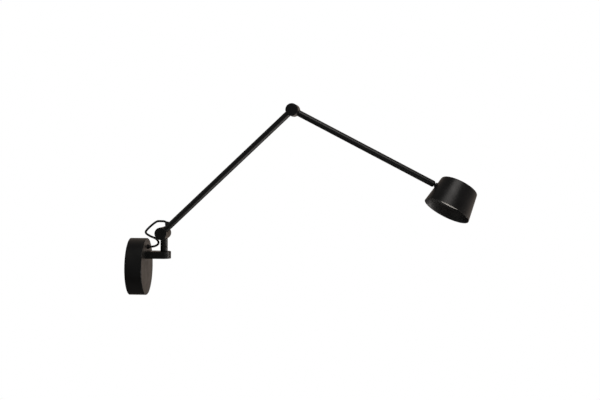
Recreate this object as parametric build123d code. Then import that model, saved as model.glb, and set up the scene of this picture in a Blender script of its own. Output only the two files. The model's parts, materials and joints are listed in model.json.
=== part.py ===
from build123d import *
import math
import os

# Articulating wall lamp. Millimetres and degrees.
# X points out of the wall, Y runs along it, Z is up. The origin is the centre of the wall plate,
# on the wall. The lamp stands in the pose of its photograph.

# ---------------------------------------------------------------- driving dimensions

# canopy and wall plate
canopy_diameter = 120.0
canopy_depth = 35.0
canopy_wall = 1.5
canopy_edge_radius = 1.2
plate_width = 32.0
plate_thickness = 2.0
tab_length = 12.0
tab_width = 16.0
tab_gap = 2.5
wall_screw_spacing = 60.0
wall_slot_width = 5.0
wall_slot_length = 12.0
supply_hole_diameter = 14.0
canopy_screw_diameter = 3.0
canopy_screw_length = 6.4
canopy_screw_setback = 0.2
canopy_screw_level = 7.5
small_socket_width = 1.5
small_socket_depth = 1.6

# what the canopy holds
backing_width = 80.0
backing_height = 79.0
backing_top = 33.0
backing_thickness = 3.0
backing_corner_radius = 8.0
driver_length = 70.0
driver_height = 32.0
driver_thickness = 17.0
driver_middle = -26.0
driver_corner_radius = 2.0
driver_lid_chamfer = 1.0
terminal_ways = 3
terminal_width = 26.0
terminal_height = 12.0
terminal_thickness = 13.0
terminal_side = -38.0
terminal_level = -3.0
terminal_screw_diameter = 4.2
terminal_screw_length = 2.9
terminal_screw_sink = 1.0
terminal_wire_bore = 3.6
terminal_wire_depth = 8.0
earth_screw_diameter = 4.0
earth_head_height = 2.4
earth_side = 10.0
earth_level = 12.0
pan_head_ratio = 1.8
screw_slot_width = 0.8
screw_slot_depth = 1.0
lead_diameter = 2.6
lead_grip = 4.0
driver_lead_inset = 8.5
driver_lead_side = 24.0

# outrigger bar
bar_level = 25.0
bar_width = 29.0
bar_height = 15.0
bar_edge = 0.5
bar_screw_diameter = 5.0
bar_screw_spacing = 16.0
bar_screw_depth = 13.0
bar_screw_head_diameter = 9.5
bar_screw_head_height = 2.7
bar_screw_socket_width = 3.0
bar_screw_socket_depth = 1.6

# swivel
post_reach = 71.0
post_diameter = 15.4
collar_height = 11.0
collar_chamfer = 0.4
collar_spigot_length = 3.0
journal_diameter = 8.0
bush_diameter = 11.0
bush_flange_diameter = 13.6
bush_flange_thickness = 1.2
bush_length = 8.0
swivel_pocket_diameter = 20.0
swivel_pocket_depth = 9.0
swivel_plug_thickness = 1.5
stop_washer_thickness = 1.2
swivel_nut_height = 2.8
swivel_nut_width = 13.0
swivel_stop_radius = 8.3
swivel_stop_diameter = 2.4
swivel_stop_depth = 1.8
swivel_stop_angle = 180.0
swivel_spring_diameter = 13.5
stop_spare_angle = 0.5

# knuckles, the same at the shoulder and the elbow
shoulder_level = 71.5
hub_diameter = 26.0
hub_length = 18.0
hub_gap = 0.4
hub_edge = 0.5
hub_web = 5.0
hub_chamber_diameter = 18.0
cap_diameter = 20.0
cap_thickness = 1.6
cap_chamfer = 0.25
pivot_diameter = 8.0
pivot_bore = 4.6
pivot_head_diameter = 14.0
pivot_head_thickness = 2.0
spring_diameter = 14.0
spring_thickness = 0.8
spring_cone = 0.4
pivot_nut_width = 12.0
pivot_nut_height = 3.0
pivot_nut_show = 1.0
friction_washer_diameter = 17.0
friction_washer_thickness = 0.9
stop_pin_diameter = 2.2
stop_pin_radius = 10.6
stop_groove_depth = 2.0
stop_pin_seat = 3.8
shoulder_pin_angle = 150.0
elbow_pin_angle = 90.0

# arms
tube_diameter = 13.2
tube_wall = 1.2
tube_seat = 10.6
post_seat = 10.2
spigot_length = 8.5
post_spigot_length = 7.5
wire_passage = 6.0
lower_arm_length = 376.0
upper_arm_length = 371.0
end_plug_length = 3.5
end_plug_chamfer = 2.0
end_plug_insert = 16.0

# cable and its two ends
cable_diameter = 4.6
boot_diameter = 11.0
boot_tip_diameter = 5.8
boot_height = 4.2
boot_lip = 0.5
boot_bore = 3.0
gland_distance = 23.0
gland_stem = 5.0
gland_stem_length = 3.0
gland_lead_out = 3.0
grommet_side = 8.0
grommet_rise = 16.0
grommet_waist = 7.0
grommet_flange_diameter = 10.0
grommet_flange_thickness = 1.5

# head
shade_opening_diameter = 97.0
shade_top_diameter = 78.6
shade_height = 58.5
shade_drop = 37.0
shade_wall = 1.5
shade_shoulder_radius = 3.8
shade_rim_chamfer = 0.9
neck_diameter = 6.4
neck_bore = 3.4
neck_gap = 3.4
neck_collar_diameter = 11.0
neck_collar_length = 2.2
neck_collar_chamfer = 0.8
neck_nut_length = 4.0
neck_spring_thickness = 1.5
neck_thread_show = 1.4
neck_tube_clearance = 0.5
sink_plate = 3.5
sink_below = 6.0
sink_rim_height = 12.0
sink_rim_wall = 2.2
sink_hub_diameter = 20.0
sink_fin_height = 20.0
sink_fin_thickness = 1.6
sink_fin_count = 20
sink_boss_width = 12.0
sink_fin_step = 1.0
sink_fin_setback = 8.0
stud_root = 2.0
screw_root = 0.5
board_diameter = 60.0
board_thickness = 1.6
chip_size = 3.5
chip_height = 0.8
chip_ring_diameters = (20.0, 40.0)
chip_ring_counts = (5, 10)
diffuser_thickness = 2.0
diffuser_distance = 5.5
bezel_height = 4.0
bezel_width = 4.0
bezel_step = 1.6
bezel_edge = 1.0
board_screw_count = 3
board_screw_spread = 26.0
board_screw_turn = 60.0
board_screw_diameter = 2.5
board_screw_head = 5.2
board_screw_head_height = 1.6
board_wire_hole = 5.0

# pose of the photograph
swivel_angle = -6.0
lower_arm_angle = 43.2
upper_arm_slope = 27.4
shade_roll = 17.4

# travel of each joint, from the pose of the photograph
swivel_travel = (-84.0, 96.0)
lower_arm_travel = (-73.2, 46.8)
elbow_travel = (-79.4, 160.6)
shade_travel = (-152.6, 187.4)

# fits
running_clearance = 0.05
seat_clearance = 0.05
free_clearance = 0.3
rubbing_clearance = 0.1

# ---------------------------------------------------------------- places that follow from them

canopy_inside = canopy_depth - canopy_wall
backing_back = canopy_inside - backing_thickness
tab_reach = canopy_diameter / 2 - canopy_wall - tab_gap
bar_top = bar_level + bar_height / 2
bar_bottom = bar_level - bar_height / 2
grommet_level = bar_level + grommet_rise
driver_top = driver_middle + driver_height / 2
pocket_ceiling = bar_bottom + swivel_pocket_depth
collar_top = bar_top + collar_height
post_bottom = collar_top + free_clearance
post_top = shoulder_level - post_seat
front_hub = -(hub_length + hub_gap)
front_web = front_hub + hub_length / 2 - hub_web
tube_bore = tube_diameter - 2 * tube_wall
spigot_diameter = tube_bore - 2 * seat_clearance
shade_taper = (shade_opening_diameter - shade_top_diameter) / 2 / shade_height

wall_frame = Location((0, 0, 0))
swivel_axis = Location((post_reach, 0, 0))
post_frame = swivel_axis * Rotation(0, 0, swivel_angle)
shoulder_frame = post_frame * Location((0, 0, shoulder_level))
lower_frame = shoulder_frame * Rotation(0, -lower_arm_angle, 0)
elbow_place = Location((lower_arm_length, 0, 0))
upper_frame = lower_frame * elbow_place * Rotation(0, lower_arm_angle + upper_arm_slope, 0)
head_frame = upper_frame * Location((upper_arm_length, 0, 0)) * Rotation(-shade_roll, 0, 0)

parts = {}


def keep(name, solids, frame):
    """Place a piece, or a group of like pieces, in the lamp under its name."""
    group = solids if isinstance(solids, list) else [solids]
    placed = [one.moved(frame) for one in group]
    parts[name] = placed[0] if len(placed) == 1 else Compound(children=placed)


def rod(diameter, start, end, axis="Z"):
    """A round bar along X, Y or Z between two stations."""
    turn = {"X": Rotation(0, 90, 0), "Y": Rotation(-90, 0, 0), "Z": Rotation(0, 0, 0)}[axis]
    shift = {"X": (start, 0, 0), "Y": (0, start, 0), "Z": (0, 0, start)}[axis]
    bar = Cylinder(diameter / 2, end - start, align=(Align.CENTER, Align.CENTER, Align.MIN))
    return Location(shift) * turn * bar


def slab(low, high):
    """A block between two corners."""
    size = [b - a for a, b in zip(low, high)]
    middle = [(a + b) / 2 for a, b in zip(low, high)]
    return Location(middle) * Box(*size)


def cone(low_diameter, high_diameter, start, end):
    """A cone along Z between two stations."""
    return Location((0, 0, (start + end) / 2)) * Cone(low_diameter / 2, high_diameter / 2, end - start)


def round_edge(body, axis, end):
    """The round edge of a turned body that lies lowest (end 0) or highest (end -1) along an axis."""
    return body.edges().filter_by(GeomType.CIRCLE).sort_by(axis)[end]


def hexagon(width, start, end):
    """A hexagon bar along Z."""
    return Location((0, 0, start)) * extrude(RegularPolygon(width / 2, 6, major_radius=False), end - start)


def cup_spring(start, way, diameter):
    """A dished spring washer along Z that opens out from its start, upwards or downwards."""
    inner = pivot_diameter / 2 + seat_clearance
    outer = diameter / 2
    edge = [
        (inner, 0),
        (outer, way * spring_cone),
        (outer, way * (spring_cone + spring_thickness)),
        (inner, way * spring_thickness),
    ]
    profile = Polyline(*[(x, 0, z) for x, z in edge], close=True)
    return Location((0, 0, start)) * revolve(make_face(profile), Axis.Z)


def ring_sector(inner_radius, outer_radius, height, first, sweep):
    """A sector of a flat ring about Z, standing on Z = 0, from a first angle through a sweep."""
    width = outer_radius - inner_radius
    section = Plane.XZ * Pos(inner_radius + width / 2, height / 2) * Rectangle(width, height)
    return Rotation(0, 0, first) * revolve(section, Axis.Z, sweep)


def boot():
    """Outer form of a moulded cable boot along Z: a short straight lip, then a cone."""
    return rod(boot_diameter, 0, boot_lip) + cone(boot_diameter, boot_tip_diameter, boot_lip, boot_height)


# ---------------------------------------------------------------- wall plate and canopy


def wall_plate():
    """Steel strap with two slotted screw holes, a supply hole and a bent tab at each end."""
    plate = slab((0, -plate_width / 2, -tab_reach), (plate_thickness, plate_width / 2, tab_reach))
    plate = fillet(plate.edges().filter_by(Axis.X), (plate_width - tab_width) / 2 - 0.01)
    for side in (-1, 1):
        inner, outer = sorted((side * (tab_reach - plate_thickness), side * tab_reach))
        plate += slab((0, -tab_width / 2, inner), (tab_length, tab_width / 2, outer))
        slot = extrude(SlotOverall(wall_slot_length, wall_slot_width), 2 * plate_thickness, both=True)
        plate -= Location((0, 0, side * wall_screw_spacing / 2)) * Rotation(0, 90, 0) * slot
    bends = [e for e in plate.edges().filter_by(Axis.Y) if abs(abs(e.center().Z) - tab_reach) < 0.01]
    plate = fillet([e for e in bends if e.center().X < 0.01], plate_thickness * 0.9)
    plate -= rod(supply_hole_diameter, -1, plate_thickness + 1, "X")
    earth = Location((0, earth_side, earth_level))
    plate -= earth * rod(earth_screw_diameter, -1, plate_thickness + 1, "X")
    level = Location((canopy_screw_level, 0, 0))
    return plate - level * rod(canopy_screw_diameter, -canopy_diameter, canopy_diameter)


def canopy_cover():
    """Spun steel cup that hides the plate and carries the outrigger bar."""
    cup = rod(canopy_diameter, 0, canopy_depth, "X")
    cup = fillet(round_edge(cup, Axis.X, -1), canopy_edge_radius)
    cup -= rod(canopy_diameter - 2 * canopy_wall, -1, canopy_inside, "X")
    for side in (-1, 1):
        place = Location((0, side * bar_screw_spacing / 2, bar_level))
        cup -= place * rod(bar_screw_diameter + 2 * free_clearance, backing_back, canopy_depth + 1, "X")
    cup -= Location((0, grommet_side, grommet_level)) * rod(grommet_waist, backing_back, canopy_depth + 1, "X")
    level = Location((canopy_screw_level, 0, 0))
    return cup - level * rod(canopy_screw_diameter, -canopy_diameter, canopy_diameter)


def canopy_screws():
    """Two grub screws that hold the canopy on the plate's tabs."""
    end = canopy_diameter / 2 - canopy_screw_setback
    screw = rod(canopy_screw_diameter - 2 * seat_clearance, end - canopy_screw_length, end)
    screw -= hexagon(small_socket_width, end - small_socket_depth, end + 1)
    level = Location((canopy_screw_level, 0, 0))
    return [level * screw, level * Rotation(180, 0, 0) * screw]


def backing_plate():
    """Steel plate behind the canopy's face that spreads the pull of the bar's screws."""
    low = (backing_back, -backing_width / 2, backing_top - backing_height)
    plate = slab(low, (canopy_inside, backing_width / 2, backing_top))
    plate = fillet(plate.edges().filter_by(Axis.X), backing_corner_radius)
    for side in (-1, 1):
        place = Location((0, side * bar_screw_spacing / 2, bar_level))
        plate -= place * rod(
            bar_screw_diameter + 2 * free_clearance, backing_back - 1, canopy_inside + 1, "X"
        )
    return plate


def bar_screws():
    """Two button-head screws from inside the canopy into the bar's root."""
    head_end = backing_back - bar_screw_head_height
    head = rod(bar_screw_head_diameter, head_end, backing_back, "X")
    head = chamfer(round_edge(head, Axis.X, 0), bar_screw_head_height / 2)
    screw = head + rod(bar_screw_diameter, head_end + 1, canopy_depth + bar_screw_depth - 1, "X")
    screw -= Rotation(0, 90, 0) * hexagon(
        bar_screw_socket_width, head_end - 1, head_end + bar_screw_socket_depth
    )
    return [Location((0, side * bar_screw_spacing / 2, bar_level)) * screw for side in (-1, 1)]


def led_driver():
    """Potted driver with a bevelled lid, bonded to the backing plate."""
    low = (backing_back - driver_thickness, -driver_length / 2, driver_middle - driver_height / 2)
    body = slab(low, (backing_back, driver_length / 2, driver_top))
    body = fillet(body.edges().filter_by(Axis.X), driver_corner_radius)
    return chamfer(body.faces().sort_by(Axis.X)[0].edges(), driver_lid_chamfer)


terminal_back = backing_back - terminal_thickness
terminal_pitch = terminal_width / terminal_ways


def terminal_block():
    """Screw terminal for the house wiring, with a wire bore through each way."""
    body = slab((terminal_back, 0, 0), (backing_back, terminal_width, terminal_height))
    body = chamfer(body.faces().sort_by(Axis.X)[0].edges(), driver_lid_chamfer)
    for n in range(terminal_ways):
        across = (n + 0.5) * terminal_pitch
        well = rod(
            terminal_screw_diameter + 2 * seat_clearance,
            terminal_back - 1,
            terminal_back + terminal_screw_sink + terminal_screw_length,
            "X",
        )
        body -= Location((0, across, terminal_height / 2)) * well
        wire = rod(terminal_wire_bore, -1, terminal_height + 1)
        body -= Location((terminal_back + terminal_wire_depth, across, 0)) * wire
    return Location((0, terminal_side, terminal_level)) * body


def terminal_screws():
    """The slotted screws of the terminal block."""
    head = terminal_back + terminal_screw_sink
    half_slot = screw_slot_width / 2
    screw = rod(terminal_screw_diameter, head, head + terminal_screw_length, "X")
    screw -= slab(
        (head - 1, -half_slot, -terminal_screw_diameter),
        (head + screw_slot_depth, half_slot, terminal_screw_diameter),
    )
    level = terminal_level + terminal_height / 2
    sides = [terminal_side + (n + 0.5) * terminal_pitch for n in range(terminal_ways)]
    return [Location((0, side, level)) * screw for side in sides]


def earth_screw():
    """Pan-head earth screw in the wall plate."""
    top = plate_thickness + earth_head_height
    screw = rod(earth_screw_diameter * pan_head_ratio, plate_thickness, top, "X")
    screw = chamfer(round_edge(screw, Axis.X, -1), earth_head_height / 3)
    screw += rod(earth_screw_diameter - 2 * seat_clearance, seat_clearance, plate_thickness + 1, "X")
    half_slot = screw_slot_width / 2
    screw -= slab(
        (top - screw_slot_depth, -half_slot, -earth_screw_diameter),
        (top + 1, half_slot, earth_screw_diameter),
    )
    return Location((0, earth_side, earth_level)) * screw


keep("wall_plate", wall_plate(), wall_frame)
keep("canopy_cover", canopy_cover(), wall_frame)
keep("canopy_grub_screws", canopy_screws(), wall_frame)
keep("backing_plate", backing_plate(), wall_frame)
keep("bar_screws", bar_screws(), wall_frame)
keep("led_driver", led_driver(), wall_frame)
keep("terminal_block", terminal_block(), wall_frame)
keep("terminal_screws", terminal_screws(), wall_frame)
keep("earth_screw", earth_screw(), wall_frame)

# ---------------------------------------------------------------- outrigger bar and swivel

# the bushes' flanges stand up to the turning parts, the upper one let into the collar
bush_seat = bush_flange_thickness - free_clearance + rubbing_clearance
washer_top = pocket_ceiling - bush_flange_thickness - rubbing_clearance
washer_level = washer_top - stop_washer_thickness
nut_top = washer_level - spring_cone - spring_thickness
plug_top = bar_bottom + swivel_plug_thickness
stop_pin_corner = Rotation(0, 0, swivel_stop_angle) * Location((swivel_stop_radius, 0, 0))


def outrigger_bar():
    """Flat bar with a half-round end, bored for the swivel and pocketed from below."""
    outline = Pos(post_reach, 0) * Circle(bar_width / 2)
    outline += Pos((canopy_depth + post_reach) / 2, 0) * Rectangle(post_reach - canopy_depth, bar_width)
    bar = Location((0, 0, bar_bottom)) * extrude(outline, bar_height)
    rims = [e for face in bar.faces().filter_by(Axis.Z) for e in face.edges()]
    bar = fillet([e for e in rims if e.center().X > canopy_depth + bar_edge], bar_edge)
    bar -= swivel_axis * rod(bush_diameter, bar_bottom - 1, bar_top + 1)
    bar -= swivel_axis * rod(swivel_pocket_diameter, bar_bottom - 1, pocket_ceiling)
    bar -= swivel_axis * rod(bush_flange_diameter, bar_top - collar_spigot_length, bar_top + 1)
    pin_hole = rod(swivel_stop_diameter, pocket_ceiling - 1, pocket_ceiling + swivel_stop_depth)
    bar -= swivel_axis * stop_pin_corner * pin_hole
    for side in (-1, 1):
        place = Location((0, side * bar_screw_spacing / 2, bar_level))
        bar -= place * rod(bar_screw_diameter, canopy_depth - 1, canopy_depth + bar_screw_depth, "X")
    return bar


def swivel_collar():
    """Fixed collar that stands on the bar and carries the upper bush."""
    collar = rod(post_diameter, bar_top, collar_top)
    collar = chamfer(round_edge(collar, Axis.Z, -1), collar_chamfer)
    spigot_end = bar_top - collar_spigot_length + seat_clearance
    collar += rod(bush_flange_diameter - 2 * seat_clearance, spigot_end, bar_top + 1)
    collar -= rod(bush_diameter, bar_bottom, collar_top + 1)
    return collar - rod(bush_flange_diameter, collar_top - bush_seat, collar_top + 1)


def swivel_bush(face, outward):
    """Flanged plastic bush for the post's journal. The flange lies on the face, on its outward side."""
    flange = sorted((face, face + outward * bush_flange_thickness))
    sleeve = sorted((face, face - outward * (bush_length - bush_flange_thickness)))
    bush = rod(bush_flange_diameter - 2 * seat_clearance, *flange)
    bush += rod(bush_diameter - 2 * seat_clearance, *sleeve)
    return bush - rod(journal_diameter + 2 * running_clearance, face - bush_length, face + bush_length)


def stop_washer():
    """Washer with a broad tongue that meets the stop pin at each end of the swivel's travel."""
    sweep = swivel_travel[1] - swivel_travel[0]
    half_pin = math.degrees(math.asin(swivel_stop_diameter / 2 / swivel_stop_radius))
    tongue = 360 - sweep - 2 * half_pin - 2 * stop_spare_angle
    middle = swivel_stop_angle + 180 - swivel_angle - sum(swivel_travel) / 2
    ring_diameter = 2 * (swivel_stop_radius - free_clearance) - swivel_stop_diameter
    washer = rod(ring_diameter, 0, stop_washer_thickness)
    washer += ring_sector(
        ring_diameter / 2 - 1,
        swivel_pocket_diameter / 2 - free_clearance,
        stop_washer_thickness,
        middle - tongue / 2,
        tongue,
    )
    return washer - rod(journal_diameter + 2 * seat_clearance, -1, stop_washer_thickness + 1)


def post():
    """Turned post with the swivel journal below and a socket for the knuckle above."""
    body = rod(post_diameter, post_bottom, post_top)
    body = chamfer(round_edge(body, Axis.Z, 0), collar_chamfer)
    body += rod(journal_diameter, plug_top + free_clearance, post_bottom + 1)
    return body - rod(tube_bore, post_top - post_spigot_length - 1, post_top + 1)


def swivel_nut():
    """Thin lock nut on the journal's end."""
    nut = hexagon(swivel_nut_width, nut_top - swivel_nut_height, nut_top)
    return nut - rod(journal_diameter, bar_bottom, nut_top + 1)


keep("outrigger_bar", outrigger_bar(), wall_frame)
keep("swivel_collar", swivel_collar(), swivel_axis)
keep("swivel_bush_upper", swivel_bush(collar_top - bush_seat, 1), swivel_axis)
keep("swivel_bush_lower", swivel_bush(pocket_ceiling, -1), swivel_axis)
keep(
    "swivel_stop_pin",
    rod(swivel_stop_diameter - 2 * seat_clearance, washer_level, pocket_ceiling + swivel_stop_depth),
    swivel_axis * stop_pin_corner,
)
keep("swivel_plug", rod(swivel_pocket_diameter - 2 * seat_clearance, bar_bottom, plug_top), swivel_axis)
keep("post", post(), post_frame)
keep("swivel_stop_washer", Location((0, 0, washer_level)) * stop_washer(), post_frame)
keep("swivel_spring", cup_spring(washer_level, -1, swivel_spring_diameter), post_frame)
keep("swivel_nut", swivel_nut(), post_frame)

# ---------------------------------------------------------------- knuckles

# Each knuckle is two half hubs, face to face. The rear half, in the plane Y = 0, holds a hollow
# pivot and a stop pin. The front half, nearer the viewer, turns on the pivot. A fibre washer lies
# between them and two dished springs under the pivot's nut press them together.


def half_hub(outward, seat_diameter, seat_distance, spigot):
    """Half of a knuckle, turned about Y, with its tube's seat and spigot along X.

    Its mid-plane is Y = 0. Its cap is on the outward side and its web on the other.
    """
    half = hub_length / 2
    inner, outer = -outward * half, outward * half
    web_end = inner + outward * hub_web
    cap_start = outer - outward * cap_thickness
    body = rod(hub_diameter, -half, half, "Y")
    body = chamfer(body.edges().filter_by(GeomType.CIRCLE), hub_edge)
    body -= rod(seat_diameter + 2 * seat_clearance, seat_distance, hub_diameter, "X")
    body += rod(spigot_diameter, hub_chamber_diameter / 2, seat_distance + spigot, "X")
    body -= rod(hub_chamber_diameter, *sorted((web_end, cap_start)), "Y")
    body -= rod(cap_diameter, *sorted((cap_start, outer + outward)), "Y")
    body -= rod(pivot_diameter + 2 * running_clearance, *sorted((inner - outward, web_end)), "Y")
    return body - rod(wire_passage, 0, seat_distance + spigot + 1, "X")


def stop_groove(travel, pin_angle):
    """Arc groove that the stop pin runs in, cut into a face at Z = 0, with round ends."""
    half_width = stop_pin_diameter / 2 + rubbing_clearance
    first = pin_angle + travel[0]
    sweep = travel[1] - travel[0]
    groove = ring_sector(
        stop_pin_radius - half_width, stop_pin_radius + half_width, stop_groove_depth, first, sweep
    )
    for angle in (first, first + sweep):
        end = Rotation(0, 0, angle) * Location((stop_pin_radius, 0, 0))
        groove += end * rod(2 * half_width, 0, stop_groove_depth)
    return groove


def front_half(spigot_angle, travel, pin_angle):
    """The half nearer the viewer, with the fibre washer's seat and the stop groove in its face."""
    half = hub_length / 2
    body = Rotation(0, -spigot_angle, 0) * half_hub(-1, tube_diameter, tube_seat, spigot_length)
    seat = friction_washer_thickness - hub_gap + rubbing_clearance
    body -= rod(friction_washer_diameter + 2 * seat_clearance, half - seat, half + 1, "Y")
    body -= Location((0, half, 0)) * Rotation(90, 0, 0) * stop_groove(travel, pin_angle)
    return Location((0, front_hub, 0)) * body


def stop_pin_place(pin_angle):
    """Where the stop pin stands, at an angle up from the arm's direction."""
    return Rotation(0, -pin_angle, 0) * Location((stop_pin_radius, 0, 0))


def rear_half(spigot_angle, seat_diameter, seat_distance, spigot, pin_angle):
    """The half away from the viewer, with the stop pin's hole in its face."""
    face = -hub_length / 2
    body = Rotation(0, -spigot_angle, 0) * half_hub(1, seat_diameter, seat_distance, spigot)
    return body - stop_pin_place(pin_angle) * rod(stop_pin_diameter, face - 1, face + stop_pin_seat, "Y")


def stop_pin(pin_angle):
    """Dowel pressed into the rear half, standing across the gap into the groove."""
    face = -hub_length / 2
    tip = face - hub_gap - stop_groove_depth + free_clearance
    pin = rod(stop_pin_diameter - 2 * seat_clearance, tip, face + stop_pin_seat, "Y")
    return stop_pin_place(pin_angle) * pin


def pivot():
    """Hollow pivot with a round head in the rear half, threaded at its front end."""
    head_start = -hub_length / 2 + hub_web
    head_end = head_start + pivot_head_thickness
    front_end = front_web - rubbing_clearance - 2 * (spring_cone + spring_thickness)
    front_end -= pivot_nut_height + pivot_nut_show
    body = rod(pivot_diameter, front_end, head_end, "Y")
    body += rod(pivot_head_diameter, head_start, head_end, "Y")
    return body - rod(pivot_bore, front_end - 1, head_end + 1, "Y")


def pivot_springs():
    """Two dished washers set rim to rim on the pivot, against the front web."""
    place = Location((0, front_web - rubbing_clearance, 0)) * Rotation(90, 0, 0)
    pair_height = 2 * (spring_cone + spring_thickness)
    first = place * cup_spring(0, 1, spring_diameter)
    return [first, place * cup_spring(pair_height, -1, spring_diameter)]


def pivot_nut():
    """Thin lock nut on the pivot's front end."""
    start = 2 * (spring_cone + spring_thickness)
    nut = hexagon(pivot_nut_width, start, start + pivot_nut_height)
    nut -= rod(pivot_diameter, start - 1, start + pivot_nut_height + 1)
    return Location((0, front_web - rubbing_clearance, 0)) * Rotation(90, 0, 0) * nut


def friction_washer():
    """Fibre washer let into the front half, which holds the knuckle where it is put."""
    start = -hub_length / 2 - rubbing_clearance - friction_washer_thickness
    ring = rod(friction_washer_diameter, start, start + friction_washer_thickness, "Y")
    return ring - rod(pivot_diameter + 2 * running_clearance, start - 1, 0, "Y")


def cap(middle, outward):
    """Flush cap pressed into the outer face of a half hub."""
    outer = middle + outward * hub_length / 2
    disc = rod(cap_diameter - 2 * seat_clearance, *sorted((outer, outer - outward * cap_thickness)), "Y")
    return chamfer(round_edge(disc, Axis.Y, -1 if outward > 0 else 0), cap_chamfer)


keep(
    "shoulder_hub_rear",
    rear_half(-90, post_diameter, post_seat, post_spigot_length, shoulder_pin_angle),
    shoulder_frame,
)
keep("shoulder_cap_rear", cap(0, 1), shoulder_frame)
keep("shoulder_pivot", pivot(), shoulder_frame)
keep("shoulder_springs", pivot_springs(), shoulder_frame)
keep("shoulder_nut", pivot_nut(), shoulder_frame)
keep("shoulder_stop_pin", stop_pin(shoulder_pin_angle), shoulder_frame)

# seen from the lower arm, the shoulder's pin moves the other way as the arm rises
shoulder_groove = (-lower_arm_travel[1], -lower_arm_travel[0])
keep(
    "shoulder_hub_front",
    front_half(0, shoulder_groove, shoulder_pin_angle - lower_arm_angle),
    lower_frame,
)
keep("shoulder_cap_front", cap(front_hub, -1), lower_frame)
keep("shoulder_friction_washer", friction_washer(), lower_frame)

# ---------------------------------------------------------------- lower arm


def lower_tube():
    """Drawn tube between the knuckles, with the gland's hole near the shoulder."""
    tube = rod(tube_diameter, tube_seat, lower_arm_length - tube_seat, "X")
    tube -= rod(tube_bore, 0, lower_arm_length, "X")
    tube -= Location((gland_distance, 0, 0)) * rod(gland_stem + 2 * seat_clearance, 0, tube_diameter)
    return Location((0, front_hub, 0)) * tube


def arm_gland():
    """Moulded boot that saddles the tube where the cable goes in."""
    surface = tube_diameter / 2
    body = rod(boot_diameter, 0, surface) + Location((0, 0, surface)) * boot()
    body -= rod(tube_diameter, -boot_diameter, boot_diameter, "X")
    body += rod(gland_stem, surface + boot_lip - gland_stem_length, surface + boot_lip)
    body -= rod(boot_bore, 0, surface + boot_height + 1)
    return Location((gland_distance, front_hub, 0)) * body


keep("lower_arm_tube", lower_tube(), lower_frame)
keep("arm_cable_gland", arm_gland(), lower_frame)

# the elbow's pin angle is measured from the lower arm's direction
keep("elbow_hub_front", front_half(180, elbow_travel, elbow_pin_angle), lower_frame * elbow_place)
keep("elbow_cap_front", cap(front_hub, -1), lower_frame * elbow_place)
keep("elbow_friction_washer", friction_washer(), lower_frame * elbow_place)

# ---------------------------------------------------------------- upper arm


def shade_radius(level):
    """Outer radius of the shade at a level measured from the arm's axis, down being negative."""
    return shade_opening_diameter / 2 - (level + shade_drop) * shade_taper


plug_face = upper_arm_length - shade_radius(0) - neck_gap
tube_end = plug_face - end_plug_length
insert_end = tube_end - end_plug_insert
upper_pin_angle = elbow_pin_angle + lower_arm_angle + upper_arm_slope


def upper_tube():
    """Drawn tube from the elbow to the end plug."""
    return rod(tube_diameter, tube_seat, tube_end, "X") - rod(tube_bore, 0, upper_arm_length, "X")


def end_plug():
    """Turned plug that closes the tube and is the bearing of the shade's stud."""
    plug = rod(tube_diameter, tube_end, plug_face, "X")
    plug = chamfer(round_edge(plug, Axis.X, -1), end_plug_chamfer)
    plug += rod(spigot_diameter, insert_end, tube_end + 1, "X")
    return plug - rod(neck_diameter + 2 * running_clearance, 0, upper_arm_length, "X")


keep("elbow_hub_rear", rear_half(0, tube_diameter, tube_seat, spigot_length, upper_pin_angle), upper_frame)
keep("elbow_cap_rear", cap(0, 1), upper_frame)
keep("elbow_pivot", pivot(), upper_frame)
keep("elbow_springs", pivot_springs(), upper_frame)
keep("elbow_nut", pivot_nut(), upper_frame)
keep("elbow_stop_pin", stop_pin(upper_pin_angle), upper_frame)
keep("upper_arm_tube", upper_tube(), upper_frame)
keep("tube_end_plug", end_plug(), upper_frame)

# ---------------------------------------------------------------- head

# the head's own frame has the shade's axis as Z and the arm's axis as X, so these are negative
plug_side = -shade_radius(0) - neck_gap
spring_end = insert_end - upper_arm_length - rubbing_clearance
nut_end = spring_end - neck_spring_thickness
nut_start = nut_end - neck_nut_length
stud_start = nut_start - neck_thread_show
stud_end = -sink_hub_diameter / 2 - stud_root
neck_fitting_diameter = tube_bore - 2 * neck_tube_clearance
sink_floor = -sink_below
sink_rim_top = sink_floor + sink_rim_height
sink_fin_top = sink_floor + sink_fin_height
board_under = sink_floor - board_thickness
diffuser_top = board_under - diffuser_distance
diffuser_radius = shade_radius(diffuser_top) - shade_wall - bezel_width


def neck_stud():
    """Hollow stud, free to turn in the end plug and screwed into the heat sink."""
    return rod(neck_diameter, stud_start, stud_end, "X") - rod(neck_bore, stud_start - 1, 0, "X")


def neck_nut():
    """Round lock nut on the stud inside the tube."""
    nut = rod(neck_fitting_diameter, nut_start, nut_end, "X")
    return nut - rod(neck_diameter, nut_start - 1, nut_end + 1, "X")


def neck_spring():
    """Spring washer between the lock nut and the end plug."""
    ring = rod(neck_fitting_diameter, nut_end, spring_end, "X")
    return ring - rod(neck_diameter + 2 * seat_clearance, nut_end - 1, spring_end + 1, "X")


def neck_collar():
    """Taper washer that fits the stud to the shade's sloping side."""
    start = -shade_radius(0) - neck_collar_length
    collar = rod(neck_collar_diameter, start, start + 2 * neck_collar_length, "X")
    collar = chamfer(round_edge(collar, Axis.X, 0), neck_collar_chamfer)
    return collar - shade_outer() - rod(neck_diameter + 2 * seat_clearance, start - 1, 0, "X")


def shade_outer():
    """The shade's outer form, solid."""
    form = cone(shade_opening_diameter, shade_top_diameter, -shade_drop, shade_height - shade_drop)
    return fillet(round_edge(form, Axis.Z, -1), shade_shoulder_radius)


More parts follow.
